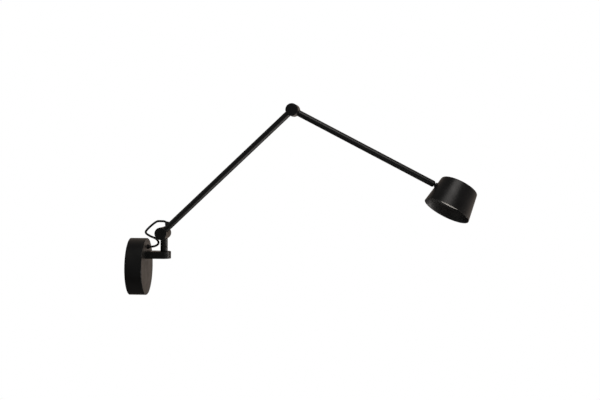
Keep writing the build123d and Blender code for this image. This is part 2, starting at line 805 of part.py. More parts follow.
def shade_inner(gap=0.0):
    """The hollow of the shade, which follows its outside at the wall's thickness and a gap."""
    side = shade_wall * math.sqrt(1 + shade_taper**2) + gap
    low = -shade_drop - 1
    high = shade_height - shade_drop - shade_wall - gap
    form = cone(2 * (shade_radius(low) - side), 2 * (shade_radius(high) - side), low, high)
    return fillet(round_edge(form, Axis.Z, -1), shade_shoulder_radius - shade_wall)


def shade():
    """Spun aluminium shade, a short cone with a rounded shoulder and a bevelled inner rim."""
    body = shade_outer() - shade_inner()
    rims = body.edges().filter_by(GeomType.CIRCLE)
    rims = rims.filter_by(lambda e: abs(e.center().Z + shade_drop) < 0.01)
    body = chamfer(rims.sort_by(lambda e: e.radius)[0], shade_rim_chamfer)
    return body - rod(neck_diameter + 2 * free_clearance, -shade_opening_diameter, 0, "X")


def around(count, radius, first=0.0):
    """Places equally spaced on a circle about Z."""
    return [Rotation(0, 0, first + 360 * n / count) * Location((radius, 0, 0)) for n in range(count)]


def heat_sink():
    """Die-cast heat sink: a plate, a rim that fits the shade, radial fins and the stud's boss."""
    hollow_form = shade_inner(seat_clearance)
    wall = shade_wall + sink_rim_wall
    low_radius = shade_radius(sink_floor) - wall
    high_radius = shade_radius(sink_rim_top) - wall
    rim = hollow_form & rod(shade_opening_diameter, sink_floor, sink_rim_top)
    rim -= cone(2 * low_radius, 2 * high_radius, sink_floor, sink_rim_top)
    plate = hollow_form & rod(shade_opening_diameter, sink_floor, sink_floor + sink_plate)
    body = plate + rim + rod(sink_hub_diameter, sink_floor, sink_fin_top)
    reach = low_radius + sink_rim_wall
    half_fin = sink_fin_thickness / 2
    fin = slab((0, -half_fin, sink_floor + 1), (reach, half_fin, sink_fin_top - sink_fin_step))
    fin -= slab((high_radius - sink_fin_setback, -half_fin - 1, sink_rim_top), (reach + 1, half_fin + 1, sink_fin_top))
    fin &= hollow_form
    half_turn = 180 / sink_fin_count
    for place in around(sink_fin_count, 0, half_turn):
        body += place * fin
    half_boss = sink_boss_width / 2
    boss = slab((-shade_opening_diameter / 2, -half_boss, sink_floor), (0, half_boss, half_boss))
    body += hollow_form & boss
    body -= rod(neck_diameter, -shade_opening_diameter, stud_end, "X")
    body -= rod(neck_bore, -sink_hub_diameter, 0, "X")
    body -= rod(neck_bore, sink_floor - 1, 0)
    for place in around(board_screw_count, board_screw_spread, board_screw_turn):
        body -= place * rod(board_screw_diameter, sink_floor - 1, sink_floor + sink_plate - screw_root)
    return body


def led_board():
    """Round metal-core board under the heat sink."""
    board = rod(board_diameter, board_under, sink_floor)
    board -= rod(board_wire_hole, board_under - 1, sink_floor + 1)
    for place in around(board_screw_count, board_screw_spread, board_screw_turn):
        board -= place * rod(board_screw_diameter + 2 * free_clearance, board_under - 1, sink_floor + 1)
    return board


def led_chips():
    """Two rings of light sources on the board."""
    half = chip_size / 2
    chip = slab((-half, -half, board_under - chip_height), (half, half, board_under))
    rings = zip(chip_ring_counts, chip_ring_diameters)
    return [place * chip for count, diameter in rings for place in around(count, diameter / 2)]


def board_screws():
    """Pan-head screws that hold the board to the heat sink."""
    low = board_under - board_screw_head_height
    screw = rod(board_screw_head, low, board_under)
    screw = chamfer(round_edge(screw, Axis.Z, 0), board_screw_head_height / 3)
    shank_end = sink_floor + sink_plate - 2 * screw_root
    screw += rod(board_screw_diameter - 2 * seat_clearance, board_under - 0.5, shank_end)
    screw -= hexagon(small_socket_width, low - 1, low + board_screw_head_height / 2)
    return [place * screw for place in around(board_screw_count, board_screw_spread, board_screw_turn)]


def diffuser():
    """Frosted disc over the light sources, seated in the bezel."""
    return rod(2 * (diffuser_radius - seat_clearance), diffuser_top - diffuser_thickness, diffuser_top)


def bezel():
    """Black ring, pushed in from below, that holds the diffuser on a step."""
    low = diffuser_top - bezel_height
    ring = shade_inner(seat_clearance) & rod(shade_opening_diameter, low, diffuser_top + bezel_edge)
    step = diffuser_top - diffuser_thickness
    ring -= rod(2 * diffuser_radius, step, diffuser_top + bezel_edge + 1)
    mouth = 2 * (shade_radius(low) - shade_wall - bezel_edge)
    return ring - cone(mouth, 2 * (diffuser_radius - bezel_step), low, step)


keep("neck_stud", neck_stud(), head_frame)
keep("neck_nut", neck_nut(), head_frame)
keep("neck_spring", neck_spring(), head_frame)
keep("neck_collar", neck_collar(), head_frame)
keep("shade", shade(), head_frame)
keep("heat_sink", heat_sink(), head_frame)
keep("led_board", led_board(), head_frame)
keep("led_chips", led_chips(), head_frame)
keep("board_screws", board_screws(), head_frame)
keep("diffuser", diffuser(), head_frame)
keep("diffuser_bezel", bezel(), head_frame)

# ---------------------------------------------------------------- cable


def tube_along(points, diameter, name):
    """A cable along straight runs joined by arcs, each as large as its two runs allow."""
    route = [Vector(*p) for p in points]
    radii = []
    for before, here, after in zip(route, route[1:], route[2:]):
        turn = (here - before).get_angle(after - here)
        shorter = min((here - before).length, (after - here).length)
        radii.append(0.45 * shorter / math.tan(math.radians(turn / 2)))
    path = FilletPolyline(*route, radius=radii)
    body = sweep(Plane(origin=path @ 0, z_dir=path % 0) * Circle(diameter / 2), path=path)
    share = body.volume / (math.pi * diameter**2 / 4 * path.length)
    print(name, "length", round(path.length, 1), "radii", [round(r, 1) for r in radii], "share", round(share, 4))
    return body


gland_tip = tube_diameter / 2 + boot_height
gland_end = (lower_frame * Location((gland_distance, front_hub, gland_tip))).position
gland_approach = (lower_frame * Location((gland_distance, front_hub, gland_tip + gland_lead_out))).position
cable_start = (canopy_depth + boot_height, grommet_side, grommet_level)
# the cable's lower part is bent by the swivel, and its upper part by the lower arm
cable_middle = (37.3, -6.6, 68.1)

lower_cable_route = [
    cable_start,
    (46.1, 8.0, 41.0),
    (55.7, 7.0, 44.9),
    (59.1, 4.8, 50.8),
    (54.6, 1.6, 58.4),
    (49.0, -1.6, 61.6),
    (42.9, -4.6, 64.2),
    cable_middle,
]
upper_cable_route = [
    cable_middle,
    (31.7, -8.6, 72.0),
    (38.6, -10.4, 80.9),
    (50.2, -12.8, 91.0),
    (59.4, -15.0, 97.2),
    (66.2, -16.9, 97.2),
    tuple(gland_approach),
    tuple(gland_end),
]


def grommet():
    """Moulded boot in the canopy's face, held by its waist and an inner flange."""
    body = Location((canopy_depth, 0, 0)) * Rotation(0, 90, 0) * boot()
    body += rod(grommet_waist - 2 * seat_clearance, canopy_inside - 1, canopy_depth + boot_lip, "X")
    body += rod(grommet_flange_diameter, canopy_inside - grommet_flange_thickness, canopy_inside, "X")
    body -= rod(boot_bore, 0, canopy_depth + boot_height + 1, "X")
    return Location((0, grommet_side, grommet_level)) * body


driver_lead_place = backing_back - driver_lead_inset
driver_output_route = [
    (driver_lead_place, driver_lead_side, driver_top),
    (driver_lead_place, driver_lead_side, 3.0),
    (driver_lead_place - 1.0, 19.5, 17.0),
    (driver_lead_place - 0.5, 12.5, 30.0),
    (24.0, grommet_side + 0.4, grommet_level - 1.5),
    (30.5, grommet_side, grommet_level),
    cable_start,
]


def mains_leads():
    """Live and neutral from the terminal block straight down into the driver."""
    lead = rod(lead_diameter, driver_top, terminal_level + lead_grip)
    place = terminal_back + terminal_wire_depth
    sides = [terminal_side + (n + 0.5) * terminal_pitch for n in range(2)]
    return [Location((place, side, 0)) * lead for side in sides]


keep("canopy_grommet", grommet(), wall_frame)
keep("mains_leads", mains_leads(), wall_frame)
keep("driver_output_lead", tube_along(driver_output_route, lead_diameter, "driver output"), wall_frame)
keep("supply_cable_lower", tube_along(lower_cable_route, cable_diameter, "lower cable"), wall_frame)
keep("supply_cable_upper", tube_along(upper_cable_route, cable_diameter, "upper cable"), wall_frame)

# ---------------------------------------------------------------- files

os.makedirs("parts", exist_ok=True)
for name, solid in parts.items():
    export_step(solid, f"parts/{name}.step")
print(len(parts), "pieces")
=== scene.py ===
import json
import math

import bpy
from mathutils import Matrix, Vector


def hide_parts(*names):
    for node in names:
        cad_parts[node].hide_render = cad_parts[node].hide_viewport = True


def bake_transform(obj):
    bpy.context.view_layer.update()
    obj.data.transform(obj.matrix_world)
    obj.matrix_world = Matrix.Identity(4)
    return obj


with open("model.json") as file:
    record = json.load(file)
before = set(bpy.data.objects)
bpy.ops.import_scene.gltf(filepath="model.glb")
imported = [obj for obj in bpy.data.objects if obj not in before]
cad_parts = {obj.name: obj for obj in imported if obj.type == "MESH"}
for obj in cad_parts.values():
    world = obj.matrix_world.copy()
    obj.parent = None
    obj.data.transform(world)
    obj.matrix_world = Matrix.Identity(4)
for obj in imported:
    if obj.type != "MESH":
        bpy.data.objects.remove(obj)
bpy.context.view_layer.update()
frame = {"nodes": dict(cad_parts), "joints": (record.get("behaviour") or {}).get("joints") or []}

# ---------------------------------------------------------------- camera
# The viewer stands square to the arms and a little above the shoulder, as far back as the lamp's
# perspective in the photograph says.

camera_target = Vector((0.3575, 0.0, 0.1433))
camera_azimuth = math.radians(1.721)
camera_elevation = math.radians(2.326)
camera_roll = math.radians(0.419)
camera_distance = 1.8191
camera_sensor_mm = 36.0
camera_lens_mm = 52.02

camera_back = Vector((
    math.sin(camera_azimuth) * math.cos(camera_elevation),
    -math.cos(camera_azimuth) * math.cos(camera_elevation),
    math.sin(camera_elevation),
))
camera_data = bpy.data.cameras.new("camera")
camera_data.sensor_width = camera_sensor_mm
camera_data.lens = camera_lens_mm
camera = bpy.data.objects.new("camera", camera_data)
camera.matrix_world = (
    Matrix.Translation(camera_target + camera_back * camera_distance)
    @ camera_back.to_track_quat("Z", "Y").to_matrix().to_4x4()
    @ Matrix.Rotation(camera_roll, 4, "Z")
)
bpy.context.collection.objects.link(camera)
bpy.context.scene.camera = camera

# ---------------------------------------------------------------- supply cable
# A smooth round cable in soft black PVC, extruded, 4.6 mm thick and all of it in view. It leaves
# the canopy's boot, doubles back over the outrigger bar and enters the lower arm through a second
# boot. It is made as a lower and an upper half that meet in the middle.

cable_diameter = 0.0046
cable_steps = 14
cable_facets = 7


def linear(colour):
    """Scene-linear red, green, blue and alpha of an sRGB hex colour."""
    parts = [int(colour[n:n + 2], 16) / 255 for n in (0, 2, 4)]
    return [c / 12.92 if c <= 0.04045 else ((c + 0.055) / 1.055) ** 2.4 for c in parts] + [1.0]


def add(tree, kind, links=(), values=(), **settings):
    """Add a node with its settings, the values of its sockets and the links into them."""
    made = tree.nodes.new(kind)
    for name, value in settings.items():
        setattr(made, name, value)
    for socket, value in dict(values).items():
        made.inputs[socket].default_value = value
    for socket, source in dict(links).items():
        tree.links.new(source, made.inputs[socket])
    return made


def start_material(name):
    """An empty node material and its tree."""
    material = bpy.data.materials.new(name)
    material.use_nodes = True
    material.node_tree.nodes.clear()
    return material, material.node_tree


def finish_material(tree, values, links):
    """Close a material with a Principled surface."""
    surface = add(tree, "ShaderNodeBsdfPrincipled", links, values)
    add(tree, "ShaderNodeOutputMaterial", {"Surface": surface.outputs[0]})


mm_per_metre = 1000


def grain(tree, size_mm, detail=3.0, place=None):
    """Noise whose cells are about size_mm across, read in the lamp's own metres."""
    place = place or add(tree, "ShaderNodeTexCoord").outputs["Object"]
    return add(
        tree, "ShaderNodeTexNoise", {"Vector": place},
        {"Scale": mm_per_metre / size_mm, "Detail": detail},
    ).outputs["Fac"]


noise_low = 0.3
noise_high = 0.7


def spread(tree, source, low, high):
    """A value that runs from low to high as the source runs over the middle of a noise."""
    return add(
        tree, "ShaderNodeMapRange", {"Value": source},
        {"From Min": noise_low, "From Max": noise_high, "To Min": low, "To Max": high},
    ).outputs[0]


# A Mix node has sockets of the same name for numbers and for colours, so these go by their place.
mix_share = 0
mix_low = 6
mix_high = 7
mix_colour = 2


def blend_colours(tree, share, low, high):
    """A colour between two, each a hex colour or a socket, as a share runs from 0 to 1."""
    links = {mix_share: share}
    values = {}
    for socket, colour in ((mix_low, low), (mix_high, high)):
        if isinstance(colour, str):
            values[socket] = linear(colour)
        else:
            links[socket] = colour
    return add(tree, "ShaderNodeMix", links, values, data_type="RGBA").outputs[mix_colour]


def mottled(tree, source, low, high):
    """Two hex colours mixed by a noise."""
    return blend_colours(tree, spread(tree, source, 0.0, 1.0), low, high)


def relief(tree, height, depth_mm, strength, normal=None):
    """Bump of a real depth on top of a normal."""
    links = {"Height": height}
    if normal:
        links["Normal"] = normal
    return add(
        tree, "ShaderNodeBump", links,
        {"Strength": strength, "Distance": depth_mm / mm_per_metre},
    ).outputs[0]


def pvc_jacket():
    """Soft PVC: an even sheen, broken by the slight waviness of a cable that was coiled."""
    material, tree = start_material("soft_pvc_jacket")
    wave = grain(tree, size_mm=6.0, detail=2.0)
    fine = grain(tree, size_mm=0.5, detail=4.0)
    finish_material(tree, {"IOR": 1.5}, {
        "Base Color": mottled(tree, wave, "0f0f10", "151517"),
        "Roughness": spread(tree, fine, 0.42, 0.54),
        "Normal": relief(tree, wave, depth_mm=0.4, strength=0.25),
    })
    return material


def spline_curve(name, points):
    """A smooth curve with the points as the control points of its one spline."""
    curve = bpy.data.curves.new(name, "CURVE")
    curve.dimensions = "3D"
    curve.resolution_u = cable_steps
    spline = curve.splines.new("NURBS")
    spline.points.add(len(points) - 1)
    for point, place in zip(spline.points, points):
        point.co = (*place, 1.0)
    spline.order_u = 3
    spline.use_endpoint_u = True
    return curve


def as_mesh(name, curve):
    """The mesh that a curve makes, as an object of its own."""
    carrier = bpy.data.objects.new(name + "_curve", curve)
    bpy.context.collection.objects.link(carrier)
    bpy.context.view_layer.update()
    depsgraph = bpy.context.evaluated_depsgraph_get()
    mesh = bpy.data.meshes.new_from_object(carrier.evaluated_get(depsgraph))
    bpy.data.objects.remove(carrier)
    return bpy.data.objects.new(name, mesh)


def cable_piece(name, points, material):
    """A tube of the cable's thickness round a route's spline, and the line that it follows."""
    line = as_mesh(name + "_line", spline_curve(name, points))
    path = [tuple(v.co) for v in line.data.vertices]
    curve = spline_curve(name, points)
    curve.bevel_depth = cable_diameter / 2
    curve.bevel_resolution = cable_facets
    curve.use_fill_caps = True
    tube = as_mesh(name, curve)
    tube.data.materials.clear()
    tube.data.materials.append(material)
    # Only the two end caps, which stay flat, have more than four corners.
    for face in tube.data.polygons:
        face.use_smooth = len(face.vertices) == 4
    bpy.context.collection.objects.link(tube)
    return tube, path


cable_start = (0.0392, 0.0080, 0.0410)
cable_middle = (0.0373, -0.0066, 0.0681)
gland_approach = (0.076356, -0.019064, 0.097305)
gland_end = (0.078399, -0.019279, 0.095118)

lower_cable_route = [
    cable_start,
    (0.0461, 0.0080, 0.0410),
    (0.0557, 0.0070, 0.0449),
    (0.0591, 0.0048, 0.0508),
    (0.0546, 0.0016, 0.0584),
    (0.0490, -0.0016, 0.0616),
    (0.0429, -0.0046, 0.0642),
    cable_middle,
]
upper_cable_route = [
    cable_middle,
    (0.0317, -0.0086, 0.0720),
    (0.0386, -0.0104, 0.0809),
    (0.0502, -0.0128, 0.0910),
    (0.0594, -0.0150, 0.0972),
    (0.0662, -0.0169, 0.0972),
    gland_approach,
    gland_end,
]

jacket = pvc_jacket()
lower_cable, lower_path = cable_piece("cable_lower", lower_cable_route, jacket)
upper_cable, upper_path = cable_piece("cable_upper", upper_cable_route, jacket)

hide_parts("supply_cable_lower")
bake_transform(lower_cable)
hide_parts("supply_cable_upper")
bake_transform(upper_cable)

# ---------------------------------------------------------------- cable boots
# Moulded rubber boots, one in the canopy's face and one that saddles the lower arm. Rubber from a
# spark-eroded mould is matt, a little greyer than the cable, and shows no bright edges.


def dress(material, *names):
    """Give CAD pieces their finish."""
    for name in names:
        node = frame["nodes"][name]
        node.data.materials.clear()
        node.data.materials.append(material)


def moulded_rubber():
    """Black rubber with the fine spark grain of its mould, drawn at 0.4 mm so that it shows."""
    material, tree = start_material("moulded_rubber")
    spark = grain(tree, size_mm=0.4, detail=2.0)
    bloom = grain(tree, size_mm=5.0, detail=3.0)
    finish_material(tree, {"IOR": 1.52}, {
        "Base Color": mottled(tree, bloom, "131314", "1a1a1b"),
        "Roughness": spread(tree, bloom, 0.58, 0.7),
        "Normal": relief(tree, spark, depth_mm=0.05, strength=0.5),
    })
    return material


dress(moulded_rubber(), "canopy_grommet", "arm_cable_gland")

# ---------------------------------------------------------------- wall plate and backing plate
# Pressed from rolled steel sheet and zinc plated. The plating is bluish grey with the rolling
# lines still showing along the sheet, and yellower where it is thin.


def drawn_out(tree, direction, across_mm, along_mm, detail=2.0):
    """Noise drawn out along a direction, for fibres and the lines that rolling or drawing leaves."""
    way = Vector(direction).normalized()
    place = add(tree, "ShaderNodeTexCoord").outputs["Object"]
    along = add(
        tree, "ShaderNodeVectorMath", {0: place}, {1: way}, operation="DOT_PRODUCT"
    ).outputs["Value"]
    pull = add(
        tree, "ShaderNodeMath", {0: along}, {1: across_mm / along_mm - 1.0}, operation="MULTIPLY"
    ).outputs[0]
    shift = add(
        tree, "ShaderNodeVectorMath", {"Scale": pull}, {0: way}, operation="SCALE"
    ).outputs[0]
    moved = add(tree, "ShaderNodeVectorMath", {0: place, 1: shift}, operation="ADD").outputs[0]
    return grain(tree, across_mm, detail, moved)


def zinc_plate():
    """Bright zinc on rolled steel: soft clouds, and rolling lines drawn at 0.5 mm so that they show."""
    material, tree = start_material("zinc_plated_steel")
    lines = drawn_out(tree, (0, 0, 1), across_mm=0.5, along_mm=12.0)
    clouds = grain(tree, size_mm=9.0, detail=3.0)
    finish_material(tree, {"Metallic": 1.0}, {
        "Base Color": mottled(tree, clouds, "a9aaa4", "bcc1c8"),
        "Roughness": spread(tree, lines, 0.28, 0.42),
        "Normal": relief(tree, lines, depth_mm=0.03, strength=0.3),
    })
    return material


dress(zinc_plate(), "wall_plate", "backing_plate")

# ---------------------------------------------------------------- driver and terminal block
# The driver's case is white polycarbonate and the terminal block is natural polyamide, both
# injection moulded with a fine spark finish. The terminal's screws are nickel plated, those of
# the earth and the LED board zinc plated, and those of the canopy and the bar blackened.


def moulded_plastic(name, dark, light, spark_mm, roughness, ior):
    """Moulded plastic: slight flow marks, and spark grain drawn at spark_mm so that it shows."""
    material, tree = start_material(name)
    spark = grain(tree, spark_mm, detail=2.0)
    flow = grain(tree, size_mm=14.0, detail=2.0)
    finish_material(tree, {"IOR": ior}, {
        "Base Color": mottled(tree, flow, dark, light),
        "Roughness": spread(tree, flow, *roughness),
        "Normal": relief(tree, spark, depth_mm=0.03, strength=0.5),
    })
    return material


def smooth_steel(name, dark, light, roughness):
    """Smooth steel, plated, blackened or hardened, with clouds 1.2 mm across."""
    material, tree = start_material(name)
    clouds = grain(tree, size_mm=1.2, detail=3.0)
    finish_material(tree, {"Metallic": 1.0}, {
        "Base Color": mottled(tree, clouds, dark, light),
        "Roughness": spread(tree, clouds, *roughness),
    })
    return material


dress(
    moulded_plastic(
        "white_polycarbonate", "dfe0dc", "ebebe8", spark_mm=0.6, roughness=(0.38, 0.5), ior=1.58
    ),
    "led_driver",
)
dress(
    moulded_plastic(
        "natural_polyamide", "d6d2c1", "e2dfd2", spark_mm=0.5, roughness=(0.45, 0.58), ior=1.53
    ),
    "terminal_block",
)
dress(
    smooth_steel("nickel_plated_steel", "b9b4aa", "cdc9c1", roughness=(0.22, 0.34)),
    "terminal_screws",
)
dress(
    smooth_steel("zinc_plated_screw", "b3b6ba", "c6c8cb", roughness=(0.26, 0.38)),
    "earth_screw", "board_screws",
)
dress(
    smooth_steel("black_oxide_steel", "1b1b1d", "2a2a2c", roughness=(0.34, 0.46)),
    "canopy_grub_screws", "bar_screws",
)

# ---------------------------------------------------------------- leads inside the canopy
# Single-core leads in smooth heat-proof silicone, which has a soft even sheen. The output lead to
# the boot is grey, and the two mains leads from the terminal block are white.

for lead, colours in (
    ("driver_output_lead", ("grey_silicone", "77797b", "85878a")),
    ("mains_leads", ("white_silicone", "d9d9d6", "e6e6e4")),
):
    dress(moulded_plastic(*colours, spark_mm=1.0, roughness=(0.4, 0.5), ior=1.42), lead)

# ---------------------------------------------------------------- canopy and outrigger bar
# The canopy is a cup spun from steel sheet and the bar is milled from flat steel. Both are powder
# coated satin black. The fused powder leaves a faint orange peel and rubs lighter at the edges.


def edge_mask(tree, radius_mm, reach):
    """Near 1 on sharp edges and 0 on open faces, and the normal rounded over those edges."""
    soft = add(tree, "ShaderNodeBevel", values={"Radius": radius_mm / mm_per_metre}, samples=4)
    flat = add(tree, "ShaderNodeNewGeometry")
    match = add(
        tree, "ShaderNodeVectorMath", {0: soft.outputs[0], 1: flat.outputs["Normal"]},
        operation="DOT_PRODUCT",
    )
    mask = add(
        tree, "ShaderNodeMapRange", {"Value": match.outputs["Value"]},
        {"From Min": 1.0, "From Max": 1.0 - reach, "To Min": 0.0, "To Max": 1.0},
    )
    return mask.outputs[0], soft.outputs[0]


def powder_coat(name, dark, light, worn, roughness):
    """Satin powder coat: mottled over 22 mm, with 1.6 mm orange peel and burnished edges."""
    material, tree = start_material(name)
    mottle = grain(tree, size_mm=22.0, detail=3.0)
    peel = grain(tree, size_mm=1.6, detail=2.0)
    mask, soft_normal = edge_mask(tree, radius_mm=0.5, reach=0.25)
    finish_material(tree, {"IOR": 1.5}, {
        "Base Color": blend_colours(tree, mask, mottled(tree, mottle, dark, light), worn),
        "Roughness": spread(tree, mottle, *roughness),
        "Normal": relief(tree, peel, depth_mm=0.12, strength=0.3, normal=soft_normal),
    })
    return material


dress(
    powder_coat(
        "satin_black_powder_coat", "0e0e0e", "131313", worn="262625", roughness=(0.36, 0.46)
    ),
    "canopy_cover", "outrigger_bar",
)

# ---------------------------------------------------------------- swivel
# The post and its collar are turned from aluminium bar and anodised black, with the fine rings
# that the tool leaves. Inside are acetal bushes, a bright steel washer, stop pin and nut, and a
# dished washer of spring steel, as in the neck. A moulded plug closes the bar from below.

joints = {joint["name"]: joint for joint in frame["joints"]}


def about_joint(tree, name):
    """Distance from a joint's axis and place along it, as the two axes of one texture."""
    axis = Vector(joints[name]["axis"]).normalized()
    place = add(tree, "ShaderNodeTexCoord").outputs["Object"]
    away = add(
        tree, "ShaderNodeVectorMath", {0: place}, {1: Vector(joints[name]["pos_m"])},
        operation="SUBTRACT",
    ).outputs[0]
    along = add(
        tree, "ShaderNodeVectorMath", {0: away}, {1: axis}, operation="DOT_PRODUCT"
    ).outputs["Value"]
    sideways = add(
        tree, "ShaderNodeVectorMath", {0: away}, {1: axis}, operation="CROSS_PRODUCT"
    ).outputs[0]
    distance = add(tree, "ShaderNodeVectorMath", {0: sideways}, operation="LENGTH").outputs["Value"]
    return add(tree, "ShaderNodeCombineXYZ", {0: distance, 1: along}).outputs[0]


def turned_metal(name, joint, colours, worn, metallic, roughness):
    """Rings of a 0.1 mm feed about its joint's axis, drawn 0.5 mm wide so that they show."""
    material, tree = start_material(name)
    rings = grain(tree, size_mm=0.5, detail=2.0, place=about_joint(tree, joint))
    bands = grain(tree, size_mm=4.0, detail=2.0, place=about_joint(tree, joint))
    mask, soft_normal = edge_mask(tree, radius_mm=0.4, reach=0.25)
    finish_material(tree, {"Metallic": metallic, "IOR": 1.5}, {
        "Base Color": blend_colours(tree, mask, mottled(tree, bands, *colours), worn),
        "Roughness": spread(tree, rings, *roughness),
        "Normal": relief(tree, rings, depth_mm=0.02, strength=0.35, normal=soft_normal),
    })
    return material


black_anodise = (("0d0d0e", "121213"), "2b2b2c", 0.0, (0.3, 0.4))
ground_steel = (("a8a7a4", "bab9b6"), "c9c8c6", 1.0, (0.2, 0.32))

dress(
    turned_metal("black_anodised_post", "post_swivel", *black_anodise),
    "post", "swivel_collar",
)
dress(
    moulded_plastic(
        "white_acetal", "dedcd3", "e9e7e0", spark_mm=0.8, roughness=(0.32, 0.42), ior=1.48
    ),
    "swivel_bush_upper", "swivel_bush_lower",
)
dress(
    turned_metal("hardened_steel_stop", "post_swivel", *ground_steel),
    "swivel_stop_pin", "swivel_stop_washer", "swivel_nut",
)
dress(
    smooth_steel("spring_steel", "5c5a58", "716e6a", roughness=(0.26, 0.36)),
    "swivel_spring", "neck_spring",
)
dress(
    moulded_plastic(
        "black_moulded_plug", "101011", "161617", spark_mm=0.5, roughness=(0.5, 0.62), ior=1.53
    ),
    "swivel_plug",
)

# ---------------------------------------------------------------- knuckles
# Each half hub and its flush cap are turned from aluminium bar and anodised black. The hollow
# pivot, its nut and the stop pin are bright steel, the dished springs are blued spring steel and
# the friction washer is red-brown vulcanised fibre.


def vulcanised_fibre():
    """Hard paper fibre: dull, with short fibres lying one way, drawn 0.6 mm wide so that they show."""
    material, tree = start_material("vulcanised_fibre")
    fibres = drawn_out(tree, (1, 0, 1), across_mm=0.6, along_mm=3.0, detail=3.0)
    finish_material(tree, {"IOR": 1.5}, {
        "Base Color": mottled(tree, fibres, "5f2a20", "7c3d2c"),
        "Roughness": spread(tree, fibres, 0.6, 0.75),
        "Normal": relief(tree, fibres, depth_mm=0.03, strength=0.4),
    })
    return material


fibre = vulcanised_fibre()
spring = smooth_steel("blued_spring_steel", "2d2f36", "3d4048", roughness=(0.26, 0.36))
for knuckle, joint in (("shoulder", "lower_arm_tilt"), ("elbow", "elbow_tilt")):
    dress(
        turned_metal(f"black_anodised_{knuckle}", joint, *black_anodise),
        f"{knuckle}_hub_front", f"{knuckle}_hub_rear",
        f"{knuckle}_cap_front", f"{knuckle}_cap_rear",
    )
    dress(
        turned_metal(f"ground_steel_{knuckle}", joint, *ground_steel),
        f"{knuckle}_pivot", f"{knuckle}_nut", f"{knuckle}_stop_pin",
    )
    dress(spring, f"{knuckle}_springs")
    dress(fibre, f"{knuckle}_friction_washer")

# ---------------------------------------------------------------- arms
# Both arms are drawn aluminium tube, anodised black. Drawing leaves faint lines along the tube,
# and the black is a shade lighter along some of them. The end plug and the neck are turned.

shoulder = Vector(joints["lower_arm_tilt"]["pos_m"])
elbow = Vector(joints["elbow_tilt"]["pos_m"])
head = Vector(joints["shade_roll"]["pos_m"])


def drawn_tube(name, direction):
    """Satin black anodised tube: drawing lines 60 mm long, drawn 0.7 mm wide so that they show."""
    material, tree = start_material(name)
    lines = drawn_out(tree, direction, across_mm=0.7, along_mm=60.0)
    tone = drawn_out(tree, direction, across_mm=5.0, along_mm=90.0)
    finish_material(tree, {"IOR": 1.5}, {
        "Base Color": mottled(tree, tone, "0d0d0e", "131313"),
        "Roughness": spread(tree, lines, 0.3, 0.4),
        "Normal": relief(tree, lines, depth_mm=0.02, strength=0.35),
    })
    return material


dress(drawn_tube("drawn_lower_tube", elbow - shoulder), "lower_arm_tube")
dress(drawn_tube("drawn_upper_tube", head - elbow), "upper_arm_tube")
dress(
    turned_metal("black_anodised_neck", "shade_roll", *black_anodise),
    "tube_end_plug", "neck_collar", "neck_stud", "neck_nut",
)

# ---------------------------------------------------------------- shade
# A short cone spun from aluminium sheet and stove enamelled satin black, inside and out. Under
# the enamel the rings of the spinning roller still show faintly about the shade's own axis.


def plane_axis(name):
    """The middle of a round flat piece and the direction square to its faces."""
    piece = frame["nodes"][name]
    corners = [v.co for v in piece.data.vertices]
    middle = sum(corners, Vector()) / len(corners)
    widest = max(piece.data.polygons, key=lambda face: face.area)
    return middle, widest.normal.copy()


shade_middle, shade_axis = plane_axis("diffuser")


def spun_enamel():
    """Satin enamel over spun sheet: rings 4 mm apart, slight mottling and a worn rim."""
    material, tree = start_material("satin_black_enamel")
    place = add(tree, "ShaderNodeTexCoord").outputs["Object"]
    away = add(
        tree, "ShaderNodeVectorMath", {0: place}, {1: shade_middle}, operation="SUBTRACT"
    ).outputs[0]
    level = add(
        tree, "ShaderNodeVectorMath", {0: away}, {1: shade_axis}, operation="DOT_PRODUCT"
    ).outputs["Value"]
    stack = add(tree, "ShaderNodeCombineXYZ", {0: level}).outputs[0]
    rings = grain(tree, size_mm=4.0, detail=2.0, place=stack)
    mottle = grain(tree, size_mm=25.0, detail=3.0)
    mask, soft_normal = edge_mask(tree, radius_mm=0.5, reach=0.25)
    finish_material(tree, {"IOR": 1.5}, {
        "Base Color": blend_colours(
            tree, mask, mottled(tree, mottle, "0e0d0d", "131212"), "2e2c2b"
        ),
        "Roughness": spread(tree, mottle, 0.34, 0.42),
        "Normal": relief(tree, rings, depth_mm=0.05, strength=0.15, normal=soft_normal),
    })
    return material


dress(spun_enamel(), "shade")

# ---------------------------------------------------------------- light source
# A die-cast aluminium heat sink carries a white board with two rings of light sources. A disc
# of frosted acrylic covers them, held by a black moulded ring.


def die_casting():
    """Raw die casting: grey, with a 1.2 mm skin grain and darker flow marks."""
    material, tree = start_material("die_cast_aluminium")
    skin = grain(tree, size_mm=1.2, detail=3.0)
    flow = grain(tree, size_mm=16.0, detail=3.0)
    finish_material(tree, {"Metallic": 1.0}, {
        "Base Color": mottled(tree, flow, "9b9c9e", "b2b3b5"),
        "Roughness": spread(tree, skin, 0.48, 0.64),
        "Normal": relief(tree, skin, depth_mm=0.08, strength=0.4),
    })
    return material


def frosted_acrylic():
    """Milky opal acrylic with a matt etched face, its grain drawn at 0.5 mm so that it shows."""
    material, tree = start_material("frosted_acrylic")
    etch = grain(tree, size_mm=0.5, detail=3.0)
    finish_material(tree, {"IOR": 1.49}, {
        "Base Color": mottled(tree, etch, "dedcd6", "e8e6e1"),
        "Roughness": spread(tree, etch, 0.5, 0.62),
        "Normal": relief(tree, etch, depth_mm=0.02, strength=0.3),
    })
    return material


